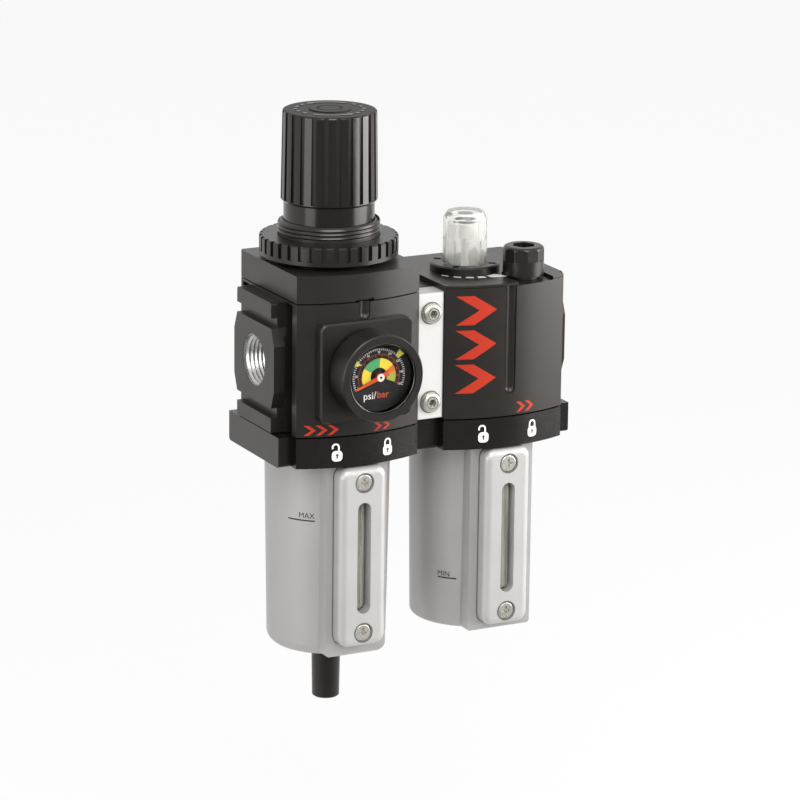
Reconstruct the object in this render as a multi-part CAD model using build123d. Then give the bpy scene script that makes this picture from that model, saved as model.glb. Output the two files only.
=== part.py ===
from build123d import *
import os

# Filter regulator and lubricator for compressed air: two modules side by side, joined by a clamp.
# Frame: origin at the mouth of the inlet port, +X along the flow, +Y to the back, +Z up.

# Shared sizes of both modules, in mm
module_width = 55.0
flange_thick = 6.0
side_margin = 0.2
module_pitch = module_width + 2 * flange_thick
corner_y = -27.5
front_bulge = 5.8
cover_back_y = -25.0
back_y = 26.5
body_bottom = -26.9
body_top = 28.2
corner_round = 1.6

# Ports: half inch pipe thread, drawn at the mean wall of the thread
port_r = 10.55
port_depth = 15.0
passage_r = 7.5
boss_half_y = 19.0
boss_half_z = 16.6
boss_edge_z = 9.5
recess_depth = 2.7
bar_half_y = 16.2
flange_top = 27.2
lug_front_y = -23.5
lug_back_y = 24.0

# Upright groove in each front cover
groove_half = 2.55
groove_deep = 2.0
filter_groove_low = 20.6
lubricator_groove_low = -17.5

# Jaw channels beside the flanges, and the clamp that grips them
channel_deep = 3.0
channel_near = 17.6
channel_far = 23.4
clamp_half_y = 26.8
clamp_z = (-26.0, 27.0)
jaw_reach = 2.6
jaw_gap = 0.2
clamp_shank_r = 1.9
shank_clear = 0.2
screw_fit = 0.05
clamp_head_r = 4.2
clamp_head_tall = 2.4
socket_flat = 3.0

# Bowl neck, skirt round it and lock collar
neck_r = 22.0
neck_fit = 0.3
skirt_wall = 2.5
collar_gap = 0.4
collar_bottom = -39.9
bowl_top_gap = 0.4
bowl_ring_z = -33.0
bowl_ring_wire = 0.9

# Bowls
bowl_r_top = 26.0
bowl_taper = 1.2
bowl_inner_r = 19.2
bowl_floor = 4.0
filter_bowl_bottom = -123.8
filter_pad_half = 13.7
lubricator_bowl_bottom = -120.5
lubricator_pad_half = 14.5
pad_proud = 1.5
plate_half = 10.45
plate_round = 4.6
plate_thick = 7.4
plate_edge = 3.0
plate_z = (-117.0, -40.6)
slot_half = 3.05
slot_z = (-102.8, -55.5)
glass_half = 6.0
glass_over = 3.0
glass_thick = 4.0
glass_rib = 3.6
glass_fit = 0.15
gasket_thick = 1.0
plate_screw_z = (-111.0, -47.1)
plate_head_r = 3.65
plate_head_tall = 2.2
plate_shank_r = 1.55

# Drain under the filter bowl
drain_r = 6.1
drain_tip_r = 5.7
drain_bottom = -148.7
drain_travel = 2.5
drain_fit = 0.3

# Bonnet, panel nut and adjusting knob
bonnet_bottom = 28.7
bonnet_top = 39.9
bonnet_thread_r = 20.7
bonnet_thread_top = 56.0
sleeve_bore_r = 18.9
tower_r = 16.4
tower_top = 54.0
tower_floor = 46.0
spring_bore_r = 14.8
nut_fit = 0.3
nut_wall = 7.4
nut_bottom = 41.4
nut_top = 49.5
nut_slots = 36
nut_slot_wide = 1.9
nut_slot_tall = 6.0
nut_slot_deep = 1.3
knob_skirt_r = 18.6
knob_skirt_bore = 16.8
knob_skirt_bottom = 50.0
knob_bottom = 63.6
knob_top = 100.9
knob_r_bottom = 19.8
knob_r_top = 19.2
knob_flutes = 24
flute_wide = 1.9
flute_deep = 0.8
knob_lift = 3.6
hex_flat = 12.0
hex_fit = 0.3
screw_r = 3.9
screw_hole_r = 4.3
button_travel = 7.5

# Gauge on the front cover
gauge_z = 0.4
gauge_pad_half = 20.6
gauge_pad_round = 3.0
gauge_pad_y = -35.8
gauge_back_y = -36.2
gauge_r_back = 17.5
gauge_r_front = 17.9
gauge_front_y = -50.5
bezel_inner_r = 14.7
lens_r = 14.9
dial_r = 14.4
dial_y = -46.2

# Lubricator top
top_plate_top = 29.4
dome_x = -5.9
dome_y = -3.2
dome_r = 9.1
dome_top = 54.0
dome_ledge = 42.8
dome_flats = 10
dome_flat_deep = 0.4
drip_well_r = 7.4
drip_well_floor = 12.0
drip_tube_top = 41.0
ring_r = 14.4
ring_top = 32.8
cap_x = 12.3
cap_y = -20.5
cap_r = 8.5
cap_top = 41.5
cap_bottom = 29.5
cap_recess_z = 28.0
cap_plug_r = 3.0
cap_plug_deep = 7.0
cap_hex_flat = 8.6
cap_ledge = 35.6
cap_flats = 10
cap_flat_deep = 0.35
dip_x = 6.0
dip_y = 9.0
dip_tube_r = 2.4
dip_fit = 0.2
strainer_r = 5.0
strainer_tall = 10.4
strainer_gap = 0.1

os.makedirs("parts", exist_ok=True)
filter_x = flange_thick + module_width / 2
lubricator_x = filter_x + module_pitch
half = module_width / 2
clamp_screw_z = boss_half_z + shank_clear + clamp_shank_r
bar_near_z = clamp_screw_z + clamp_shank_r + shank_clear
pad_y = -(bowl_r_top + pad_proud)
nut_r = bonnet_thread_r + nut_fit + nut_wall
groove_r = (groove_half**2 + groove_deep**2) / (2 * groove_deep)


def save(shape, name):
    shape.label = name
    export_step(shape, f"parts/{name}.step")


def block(x, y, z):
    """A box from its (low, high) pair on each axis."""
    size = [high - low for low, high in (x, y, z)]
    middle = [(low + high) / 2 for low, high in (x, y, z)]
    return Pos(*middle) * Box(*size)


def post(x, y, z_low, z_high, r_low, r_high=None):
    """An upright cylinder, or a cone where the two radii differ."""
    tall = z_high - z_low
    spot = Pos(x, y, (z_low + z_high) / 2)
    if r_high is None or r_high == r_low:
        return spot * Cylinder(r_low, tall)
    return spot * Cone(r_low, r_high, tall)


def along_x(x_low, x_high, y, z, r):
    return Pos((x_low + x_high) / 2, y, z) * Rot(0, 90, 0) * Cylinder(r, x_high - x_low)


def along_y(y_low, y_high, x, z, r, r_back=None):
    """A cylinder along Y; r is its front radius and r_back its back one."""
    spot = Pos(x, (y_low + y_high) / 2, z) * Rot(-90, 0, 0)
    if r_back is None:
        return spot * Cylinder(r, y_high - y_low)
    return spot * Cone(r, r_back, y_high - y_low)


def hexagon(x, y, z_low, z_high, flat):
    face = Pos(x, y, z_low) * RegularPolygon(flat / 2, 6, major_radius=False)
    return extrude(face, z_high - z_low, dir=(0, 0, 1))


def bowed(x, z_low, z_high, y_back, half_width=half, grow=0.0):
    """A module's outline: flat back and sides, and a front that bows forward."""
    y_corner = corner_y - grow
    left = (x - half_width, y_corner)
    right = (x + half_width, y_corner)
    front = ThreePointArc(left, (x, y_corner - front_bulge), right)
    rest = Polyline(right, (x + half_width, y_back), (x - half_width, y_back), left)
    outline = make_face([front, *rest.edges()])
    return extrude(Pos(0, 0, z_low) * outline, z_high - z_low, dir=(0, 0, 1))


def upright_edges(shape, y_over):
    """The vertical edges of a shape that lie behind a given Y."""
    edges = shape.edges().filter_by(Axis.Z)
    return [edge for edge in edges if edge.center().Y > y_over]


def mirror_side(shape, x):
    """The same shape on the other side of a module whose middle is at x."""
    return mirror(shape, Plane.YZ.offset(x))


def rounded_plate(x, z_low, z_high, y_low, y_high, half_width, radius):
    """A plate that faces the front, with its four corners rounded."""
    middle = Plane((x, y_high, (z_low + z_high) / 2), x_dir=(1, 0, 0), z_dir=(0, -1, 0))
    face = middle * RectangleRounded(2 * half_width, z_high - z_low, radius)
    return extrude(face, y_high - y_low, dir=(0, -1, 0))


def front_groove(x, z_low):
    """An upright half-round groove in a cover's front, with a round foot."""
    y = corner_y - front_bulge + groove_deep - groove_r
    foot = z_low + groove_half
    return post(x, y, foot, body_top + 10, groove_r) + Pos(x, y, foot) * Sphere(groove_r)


def flats_round(x, y, z_low, z_high, r, count, deep):
    """What is cut off an upright cylinder to leave flats round its upper part."""
    prism = Pos(x, y, z_low - 1) * RegularPolygon(r - deep, count, major_radius=False)
    return post(x, y, z_low, z_high + 1, r + 1) - extrude(prism, z_high - z_low + 3, dir=(0, 0, 1))


def side_flange(x):
    """The left flange of a module: upper bar, eight-sided port boss, lower bar, screw recesses."""
    x_face = x - half - flange_thick
    x_root = x - half
    base = block((x_face + recess_depth, x_root), (-bar_half_y, bar_half_y), (body_bottom, flange_top))
    top_bar = block((x_face, x_root), (-bar_half_y, bar_half_y), (bar_near_z, flange_top))
    low_bar = block((x_face, x_root), (-bar_half_y, bar_half_y), (body_bottom, -bar_near_z))
    corners = [
        (-boss_half_y, -boss_edge_z),
        (-bar_half_y, -boss_half_z),
        (bar_half_y, -boss_half_z),
        (boss_half_y, -boss_edge_z),
        (boss_half_y, boss_edge_z),
        (bar_half_y, boss_half_z),
        (-bar_half_y, boss_half_z),
        (-boss_half_y, boss_edge_z),
    ]
    face = Plane((x_face, 0, 0), x_dir=(0, 1, 0), z_dir=(1, 0, 0)) * make_face(Polyline(*corners, close=True))
    boss = extrude(face, flange_thick, dir=(1, 0, 0))
    top_bar = fillet(top_bar.edges().filter_by(Axis.X).group_by(Axis.Z)[-1], 1.2)
    return base + top_bar + low_bar + boss


def jaw_channels(x):
    """Upright channels in a module's left side, in front of the flange and behind it."""
    x_side = x - half
    tall = (body_bottom - 1, flange_top)
    front = block((x_side - 1, x_side + channel_deep), (-channel_far, -channel_near), tall)
    back = block((x_side - 1, x_side + channel_deep), (channel_near, channel_far), tall)
    return front + back


def module_body(x, top):
    """The casting of a module without its bores: block, both flanges, jaw channels."""
    body = block((x - half, x + half), (cover_back_y, back_y), (body_bottom, top))
    body = fillet(upright_edges(body, 0), corner_round)
    body += side_flange(x) + mirror_side(side_flange(x), x)
    body -= jaw_channels(x) + mirror_side(jaw_channels(x), x)
    return body


def front_cover(x):
    """The bowed plastic cover over a module's front, before its own marks."""
    return bowed(x, body_bottom + side_margin, body_top, cover_back_y)


def lock_collar(x):
    """The bowed band under a module: it seats the bowl's neck and has a lug on each side."""
    band_top = body_bottom - collar_gap
    band = bowed(x, collar_bottom, band_top, back_y)
    band = fillet(upright_edges(band, 0), corner_round)
    lug_x = half + flange_thick
    lug = block((x - lug_x, x + lug_x), (lug_front_y, lug_back_y), (collar_bottom, band_top))
    lug = fillet(lug.edges().filter_by(Axis.X).group_by(Axis.Z)[0], 1.5)
    band += lug
    band += post(x, 0, band_top - 1, body_bottom, neck_r + neck_fit + skirt_wall)
    return band - post(x, 0, collar_bottom - 1, body_bottom + 1, neck_r + neck_fit)


# ------------------------------------------------------------ filter regulator: body and covers
seat_z = 8.5
upper_chamber_r = 20.0
lower_chamber_r = 15.0

filter_body = module_body(filter_x, body_top)
filter_body -= post(filter_x, 0, body_bottom - 1, seat_z, lower_chamber_r)
filter_body -= post(filter_x, 0, seat_z - 1, 12.5, 5.0)
filter_body -= post(filter_x, 0, seat_z + 3, body_top + 1, upper_chamber_r)
filter_body -= along_x(-1, port_depth, 0, 0, port_r)
filter_body -= along_x(port_depth - 1, filter_x - 5, 0, 0, passage_r)
far_face = 2 * filter_x
filter_body -= along_x(filter_x + 19.5, far_face + 1, 0, 0, passage_r)
filter_body -= post(filter_x + 21.5, 0, -2, seat_z + 6, 3.6)
filter_body -= along_y(cover_back_y - 1, -17.0, filter_x, gauge_z, 3.6)
filter_body -= post(filter_x, -18.6, gauge_z, seat_z + 6, 1.2)
save(filter_body, "filter_body")

filter_cover = front_cover(filter_x) - front_groove(filter_x, filter_groove_low)
gauge_pad = rounded_plate(
    filter_x,
    gauge_z - gauge_pad_half,
    gauge_z + gauge_pad_half,
    gauge_pad_y,
    cover_back_y - 1,
    gauge_pad_half,
    gauge_pad_round,
)
filter_cover += gauge_pad
filter_cover = chamfer(filter_cover.faces().sort_by(Axis.Y)[0].edges(), 0.7)
filter_cover -= along_y(gauge_pad_y - 5, 0, filter_x, gauge_z, 4.2)
save(filter_cover, "filter_front_cover")

save(lock_collar(filter_x), "filter_lock_collar")
save(lock_collar(lubricator_x), "lubricator_lock_collar")

# ------------------------------------------------------------ bonnet, nut and knob
bonnet = bowed(filter_x, bonnet_bottom, bonnet_top, back_y)
bonnet = fillet(upright_edges(bonnet, 0), corner_round)
bonnet += post(filter_x, 0, bonnet_top, nut_bottom, bonnet_thread_r - 0.9)
thread_end = bonnet_thread_top - 1.4
bonnet += post(filter_x, 0, nut_bottom, thread_end, bonnet_thread_r)
bonnet += post(filter_x, 0, thread_end, bonnet_thread_top, bonnet_thread_r, bonnet_thread_r - 1.6)
sleeve_room = post(filter_x, 0, tower_floor, bonnet_thread_top + 1, sleeve_bore_r)
bonnet -= sleeve_room - post(filter_x, 0, tower_floor - 1, tower_top, tower_r)
bonnet -= post(filter_x, 0, bonnet_bottom - 1, tower_top - 3.5, spring_bore_r)
bonnet -= post(filter_x, 0, bonnet_bottom - 1, bonnet_bottom + 3.3, upper_chamber_r)
bonnet -= post(filter_x, 0, tower_floor, tower_top + 1, screw_hole_r)
notch_y = corner_y - front_bulge
notch_z = (bonnet_bottom - 1, bonnet_bottom + 0.9)
bonnet -= block((filter_x - 4.2, filter_x + 4.2), (notch_y - 2, notch_y + 1.4), notch_z)
save(bonnet, "bonnet")

panel_nut = post(filter_x, 0, nut_bottom, nut_top, nut_r)
panel_nut = chamfer(panel_nut.edges().filter_by(GeomType.CIRCLE), 0.5)
panel_nut -= post(filter_x, 0, nut_bottom - 1, nut_top + 1, bonnet_thread_r + nut_fit)
slot_low = nut_top - nut_slot_tall
nut_slot = Box(2 * nut_slot_deep, nut_slot_wide, nut_slot_tall + 2)
slot_spots = PolarLocations(nut_r, nut_slots)
slot_lift = Pos(filter_x, 0, slot_low + nut_slot_tall / 2 + 1)
panel_nut -= [slot_lift * spot * nut_slot for spot in slot_spots]
save(panel_nut, "panel_nut")

knob = post(filter_x, 0, knob_bottom, knob_top, knob_r_bottom, knob_r_top)
knob = chamfer(knob.edges().filter_by(GeomType.CIRCLE).group_by(Axis.Z)[0], 0.8)
knob = fillet(knob.edges().filter_by(GeomType.CIRCLE).group_by(Axis.Z)[-1], 1.0)
flute = Box(2 * flute_deep, flute_wide, knob_top - knob_bottom)
flute_lift = Pos(filter_x, 0, (knob_top + knob_bottom) / 2 + 1.2)
knob -= [flute_lift * spot * flute for spot in PolarLocations((knob_r_bottom + knob_r_top) / 2, knob_flutes)]
knob += post(filter_x, 0, knob_skirt_bottom, knob_bottom + 0.5, knob_skirt_r)
knob -= post(filter_x, 0, knob_skirt_bottom - 1, knob_top - 3, knob_skirt_bore)
knob += post(filter_x, 0, knob_bottom, knob_top - 2, 9.0)
knob -= hexagon(filter_x, 0, knob_bottom - 2, knob_top - 3, hex_flat + 2 * hex_fit)
knob += post(filter_x, 0, knob_top - 0.5, knob_top + 0.5, 8.5)
ring_line = post(filter_x, 0, knob_top + 0.1, knob_top + 1, 5.2)
knob -= ring_line - post(filter_x, 0, knob_top - 1, knob_top + 2, 4.5)
save(knob, "adjusting_knob")

hex_top = knob_top - 3 - knob_lift - 1.5
adjusting_screw = post(filter_x, 0, bonnet_bottom + 3.8, tower_top + 0.3, screw_r)
adjusting_screw += post(filter_x, 0, tower_top + 0.3, tower_top + 2.3, 8.0)
adjusting_screw += hexagon(filter_x, 0, tower_top + 2.3, hex_top, hex_flat)
save(adjusting_screw, "adjusting_screw")

button_low = tower_top - 10.0
spring_button = post(filter_x, 0, button_low, button_low + 4, spring_bore_r - 0.5)
spring_button += post(filter_x, 0, button_low - 3, button_low, 8.5)
spring_button -= post(filter_x, 0, button_low - 4, button_low + 5, screw_hole_r)
save(spring_button, "spring_button")

stem_hole = post(filter_x, 0, body_top - 1, bonnet_bottom + 3, 2.0)
diaphragm = post(filter_x, 0, body_top, bonnet_bottom, half - 3.0) - stem_hole
save(diaphragm, "diaphragm")
plate_top = bonnet_bottom + 1.6
diaphragm_plate = post(filter_x, 0, bonnet_bottom, plate_top, spring_bore_r - 0.8) - stem_hole
save(diaphragm_plate, "diaphragm_plate")
control_spring = post(filter_x, 0, plate_top, button_low, spring_bore_r - 1.2)
control_spring -= post(filter_x, 0, plate_top - 1, button_low + 1, spring_bore_r - 4.2)
save(control_spring, "control_spring")

# ------------------------------------------------------------ valve and filter inside
poppet_top = seat_z - 0.1
valve_poppet = post(filter_x, 0, poppet_top - 3, poppet_top, 7.2)
valve_poppet += post(filter_x, 0, poppet_top, body_top - 0.4, 1.5)
valve_poppet += post(filter_x, 0, poppet_top - 9, poppet_top - 3, 3.0)
save(valve_poppet, "valve_poppet")

guide_top = -8.0
guide_floor = -24.0
valve_guide = post(filter_x, 0, guide_floor, guide_floor + 3, 13.0)
valve_guide += post(filter_x, 0, guide_floor, guide_top, 6.8)
valve_guide -= post(filter_x, 0, guide_floor + 3, guide_top + 1, 5.0)
save(valve_guide, "valve_guide")
valve_spring = post(filter_x, 0, guide_floor + 3, poppet_top - 9, 4.4)
valve_spring -= post(filter_x, 0, guide_floor, poppet_top, 3.2)
save(valve_spring, "valve_spring")

deflector_top = guide_floor - 0.4
deflector_low = -40.0
element_r = 12.0
element_bore_r = 8.0
deflector = post(filter_x, 0, deflector_top - 2.5, deflector_top, 14.6)
deflector += post(filter_x, 0, deflector_low, deflector_top, element_r + 1.4)
deflector += post(filter_x, 0, deflector_low, deflector_low + 3.0, bowl_inner_r - 0.8)
vane = Box(5.2, 1.6, 6)
vane_spots = PolarLocations(bowl_inner_r - 2.2, 10)
deflector -= [Pos(filter_x, 0, deflector_low + 1.5) * spot * Rot(35, 0, 0) * vane for spot in vane_spots]
deflector -= post(filter_x, 0, deflector_low - 1, deflector_top + 1, element_bore_r)
save(deflector, "deflector")
element_bottom = -92.0
element_top = deflector_low - 0.2
filter_element = post(filter_x, 0, element_bottom, element_top, element_r)
filter_element -= post(filter_x, 0, element_bottom - 1, element_top + 1, element_bore_r)
save(filter_element, "filter_element")
baffle = post(filter_x, 0, element_bottom - 3.2, element_bottom - 0.2, 17.0, 14.5)
baffle += post(filter_x, 0, element_bottom - 0.2, element_bottom + 6, element_bore_r - 0.4)
save(baffle, "filter_baffle")
tie_rod = post(filter_x, 0, element_bottom + 6.0, guide_floor, 2.4)
save(tie_rod, "element_tie_rod")


# ------------------------------------------------------------ bowls
def bowl(x, bottom, pad_half, round_foot):
    """A round metal bowl with a flat pad up its front for the level window."""
    r_foot = bowl_r_top - bowl_taper
    top = collar_bottom - bowl_top_gap
    shell = post(x, 0, bottom, top, r_foot, bowl_r_top)
    shell = fillet(shell.edges().filter_by(GeomType.CIRCLE).group_by(Axis.Z)[0], round_foot)
    pad = block((x - pad_half, x + pad_half), (pad_y, 0), (bottom, top))
    pad_foot = pad.faces().sort_by(Axis.Z)[0].edges() - pad.edges().filter_by(Axis.X).group_by(Axis.Y)[-1]
    shell += fillet(pad_foot, round_foot)
    shell += post(x, 0, top, body_bottom - 0.3, neck_r)
    ring_low = bowl_ring_z - bowl_ring_wire - 0.1
    ring_high = bowl_ring_z + bowl_ring_wire + 0.1
    groove_r = neck_r - 2 * bowl_ring_wire + neck_fit - 0.02
    shell -= post(x, 0, ring_low, ring_high, neck_r + 1) - post(x, 0, ring_low, ring_high, groove_r)
    shell -= post(x, 0, bottom + bowl_floor, body_bottom + 1, bowl_inner_r)
    low, high = slot_z
    shell -= rounded_plate(x, low, high, pad_y - 1, -15, slot_half, slot_half - 0.01)
    rim = glass_over + 0.2
    seat_y = pad_y + glass_thick + gasket_thick
    shell -= rounded_plate(x, low - rim, high + rim, pad_y - 1, seat_y, glass_half + 0.2, glass_half + 0.1)
    for z in plate_screw_z:
        shell -= along_y(pad_y - 1, pad_y + 5, x, z, plate_shank_r)
    return shell


def level_window(x, name, front_shift=0.0):
    """The window in a bowl's pad: gasket, glass, cover plate and its two screws."""
    low, high = slot_z
    frame_z = (low - glass_over, high + glass_over)
    glass_back = pad_y + glass_thick
    gasket_back = glass_back + gasket_thick
    gasket = rounded_plate(x, *frame_z, glass_back, gasket_back, glass_half, glass_half - 0.1)
    gasket -= rounded_plate(x, low, high, glass_back - 1, gasket_back + 1, slot_half, slot_half - 0.01)
    save(gasket, f"{name}_window_gasket")
    glass = rounded_plate(x, *frame_z, pad_y, glass_back, glass_half, glass_half - 0.1)
    rib_half = slot_half - glass_fit
    rib_z = (low + glass_fit, high - glass_fit)
    rib = rounded_plate(x, *rib_z, pad_y - glass_rib, pad_y, rib_half, rib_half - 0.01)
    glass += fillet(rib.faces().sort_by(Axis.Y)[0].edges(), rib_half - 0.5)
    save(glass, f"{name}_sight_glass")
    face_y = pad_y - plate_thick - front_shift
    plate = rounded_plate(x, *plate_z, face_y, pad_y, plate_half, plate_round)
    plate = fillet(plate.faces().sort_by(Axis.Y)[0].edges(), plate_edge)
    plate -= rounded_plate(x, low, high, face_y - 1, pad_y + 1, slot_half, slot_half - 0.01)
    screws = None
    for z in plate_screw_z:
        plate -= along_y(face_y - 1, face_y + plate_head_tall, x, z, plate_head_r + 0.15)
        plate -= along_y(face_y, pad_y + 1, x, z, plate_shank_r + 0.2)
        head = along_y(face_y + 0.2, face_y + plate_head_tall, x, z, plate_head_r)
        head = fillet(head.edges().filter_by(GeomType.CIRCLE).group_by(Axis.Y)[0], 0.7)
        cross = block((x - 1.8, x + 1.8), (face_y, face_y + 1.4), (z - 0.45, z + 0.45))
        cross += block((x - 0.45, x + 0.45), (face_y, face_y + 1.4), (z - 1.8, z + 1.8))
        screw = head - cross + along_y(face_y + plate_head_tall, pad_y + 4.6, x, z, plate_shank_r)
        screws = screw if screws is None else screws + screw
    save(plate, f"{name}_window_plate")
    save(screws, f"{name}_window_screws")


def bowl_ring(x):
    """The seal in the groove round a bowl's neck."""
    ring = Torus(neck_r + neck_fit - bowl_ring_wire - 0.06, bowl_ring_wire - 0.06)
    return Pos(x, 0, bowl_ring_z) * ring


filter_bowl = bowl(filter_x, filter_bowl_bottom, filter_pad_half, 5.0)
floor_top = filter_bowl_bottom + bowl_floor
filter_bowl -= post(filter_x, 0, filter_bowl_bottom - 1, floor_top + 1, drain_r + drain_fit)
save(filter_bowl, "filter_bowl")
save(bowl_ring(filter_x), "filter_bowl_ring")
level_window(filter_x, "filter")

lubricator_bowl = bowl(lubricator_x, lubricator_bowl_bottom, lubricator_pad_half, 1.8)
save(lubricator_bowl, "lubricator_bowl")
save(bowl_ring(lubricator_x), "lubricator_bowl_ring")
level_window(lubricator_x, "lubricator", -0.9)

drain = post(filter_x, 0, drain_bottom, filter_bowl_bottom, drain_tip_r, drain_r)
drain += post(filter_x, 0, filter_bowl_bottom, floor_top + 0.3, drain_r)
drain += post(filter_x, 0, floor_top + 0.3, floor_top + 2.5, drain_r + 2.6)
drain = chamfer(drain.edges().filter_by(GeomType.CIRCLE).group_by(Axis.Z)[0], 0.5)
drain -= post(filter_x, 0, drain_bottom - 1, drain_bottom + 14, 3.2)
save(drain, "drain_stem")
cage_top = floor_top + 14
cage = post(filter_x, 0, floor_top, cage_top, 11.5) - post(filter_x, 0, floor_top - 1, cage_top - 2, 9.6)
cage -= [Pos(filter_x, 0, floor_top + 6) * spot * Box(6, 3, 7) for spot in PolarLocations(10.5, 6)]
cage -= post(filter_x, 0, floor_top, cage_top + 1, 3.0)
save(cage, "drain_cage")
drain_spring = post(filter_x, 0, floor_top + 2.5, cage_top - 2, 6.0)
drain_spring -= post(filter_x, 0, floor_top, cage_top, 4.6)
save(drain_spring, "drain_spring")

# ------------------------------------------------------------ gauge
gauge_case = along_y(gauge_front_y + 2, gauge_back_y, filter_x, gauge_z, gauge_r_front, gauge_r_back)
gauge_case = fillet(gauge_case.edges().filter_by(GeomType.CIRCLE).group_by(Axis.Y)[-1], 1.5)
gauge_case += along_y(gauge_back_y - 1, -18.5, filter_x, gauge_z, 3.4)
gauge_case -= along_y(gauge_front_y - 1, dial_y + 4.4, filter_x, gauge_z, gauge_r_front - 2.2)
gauge_case += along_y(dial_y + 1.0, gauge_back_y - 2, filter_x, gauge_z, 4.0)
gauge_case -= along_y(dial_y - 1, -15, filter_x, gauge_z, 1.1)
save(gauge_case, "gauge_case")

bezel = along_y(gauge_front_y, gauge_front_y + 2, filter_x, gauge_z, gauge_r_front)
bezel = chamfer(bezel.edges().filter_by(GeomType.CIRCLE).group_by(Axis.Y)[0], 0.4)
bezel -= along_y(gauge_front_y - 1, gauge_front_y + 3, filter_x, gauge_z, bezel_inner_r)
bezel -= along_y(gauge_front_y + 0.8, gauge_front_y + 3, filter_x, gauge_z, lens_r + 0.2)
save(bezel, "gauge_bezel")
lens = along_y(gauge_front_y + 0.8, gauge_front_y + 2.0, filter_x, gauge_z, lens_r)
save(lens, "gauge_lens")
dial = along_y(dial_y, dial_y + 1.0, filter_x, gauge_z, dial_r) - along_y(-60, -30, filter_x, gauge_z, 1.1)
save(dial, "gauge_dial")

needle_angle = 202.5
needle_y = (dial_y - 1.5, dial_y - 1.0)
needle_plane = Plane((filter_x, needle_y[1], gauge_z), x_dir=(1, 0, 0), z_dir=(0, -1, 0))
blade = make_face(Polyline((-4.2, -1.0), (11.0, -0.4), (12.0, 0), (11.0, 0.4), (-4.2, 1.0), close=True))
needle = extrude(needle_plane * Rot(0, 0, needle_angle) * blade, needle_y[1] - needle_y[0], dir=(0, -1, 0))
needle += along_y(dial_y - 1.9, dial_y - 0.6, filter_x, gauge_z, 1.7)
needle += along_y(dial_y - 1.0, dial_y + 4.0, filter_x, gauge_z, 0.8)
save(needle, "gauge_needle")


def range_marker(angle):
    """A small pointer round the dial's edge that marks a limit of pressure."""
    plane = Plane((filter_x, dial_y - 0.2, gauge_z), x_dir=(1, 0, 0), z_dir=(0, -1, 0))
    tab = make_face(Polyline((10.9, -0.7), (13.8, -1.5), (13.8, 1.5), (10.9, 0.7), close=True))
    return extrude(plane * Rot(0, 0, angle) * tab, 0.5, dir=(0, -1, 0))


save(range_marker(148.0), "gauge_marker_low")
save(range_marker(44.0), "gauge_marker_high")

# ------------------------------------------------------------ lubricator: body and top
lubricator_top = 27.0
lubricator_body = module_body(lubricator_x, lubricator_top)
near_face = lubricator_x - half - flange_thick
far_mouth = 2 * lubricator_x - near_face
lubricator_body -= along_x(near_face - 1, near_face + 20, 0, 0, passage_r)
lubricator_body -= along_x(near_face + 19, far_mouth - port_depth + 1, 0, 0, passage_r - 1.5)
lubricator_body -= along_x(far_mouth - port_depth, far_mouth + 1, 0, 0, port_r)
lubricator_body -= post(lubricator_x, 0, body_bottom - 1, -12.0, 19.0)
seal_groove = along_x(near_face - 1, near_face + 1.7, 0, 0, 14.2)
lubricator_body -= seal_groove - along_x(near_face - 2, near_face + 2, 0, 0, 11.8)
dome_cx = lubricator_x + dome_x
cap_cx = lubricator_x + cap_x
dip_cx = lubricator_x + dip_x
lubricator_body -= post(dome_cx, dome_y, drip_well_floor, lubricator_top + 1, drip_well_r)
lubricator_body -= post(dome_cx, dome_y, -14, drip_well_floor + 1, 1.6)
lubricator_body -= post(dip_cx, dip_y, -14, 10, dip_tube_r + dip_fit)
lubricator_body -= post(cap_cx, cap_y, -16.0, lubricator_top + 1, cap_plug_r + 0.3)
save(lubricator_body, "lubricator_body")

port_seal = Pos(near_face + 0.85, 0, 0) * Rot(0, 90, 0) * Torus(13.0, 0.8)
save(port_seal, "port_seal")

cap_recess = post(cap_cx, cap_y, cap_recess_z, 40, cap_r + 0.5)
cap_recess += block((cap_cx - cap_r - 0.5, cap_cx + cap_r + 0.5), (corner_y - 9, cap_y), (cap_recess_z, 40))
lubricator_cover = front_cover(lubricator_x) - front_groove(lubricator_x, lubricator_groove_low) - cap_recess
save(lubricator_cover, "lubricator_front_cover")

top_plate = bowed(lubricator_x, body_top + 0.2, top_plate_top, back_y)
plate_x = (lubricator_x - half, lubricator_x + half)
top_plate += block(plate_x, (cover_back_y, back_y), (lubricator_top, top_plate_top))
top_plate = fillet(upright_edges(top_plate, 0), corner_round)
top_plate -= post(dome_cx, dome_y, 20, 40, 8.0)
top_plate -= post(cap_cx, cap_y, 20, 40, cap_plug_r + 0.5) + cap_recess
save(top_plate, "lubricator_top_plate")

drip_ring = post(dome_cx, dome_y, top_plate_top + 0.1, ring_top, ring_r)
drip_ring = chamfer(drip_ring.edges().filter_by(GeomType.CIRCLE).group_by(Axis.Z)[-1], 0.6)
drip_ring -= post(dome_cx, dome_y, 20, 40, dome_r + 0.3)
ring_notches = PolarLocations(ring_r - 2.6, 4, start_angle=45)
drip_ring -= [Pos(dome_cx, dome_y, ring_top) * spot * Box(3.2, 2.4, 2.6) for spot in ring_notches]
save(drip_ring, "drip_ring")

dome = post(dome_cx, dome_y, top_plate_top + 0.1, dome_top - 2.6, dome_r)
dome += post(dome_cx, dome_y, dome_top - 2.6, dome_top, dome_r, dome_r - 1.6)
dome -= flats_round(dome_cx, dome_y, dome_ledge, dome_top, dome_r, dome_flats, dome_flat_deep)
dome += post(dome_cx, dome_y, 20.5, top_plate_top + 0.1, drip_well_r - 0.4)
dome -= post(dome_cx, dome_y, 19.0, dome_top - 4.5, 5.8)
save(dome, "sight_dome")

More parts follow.
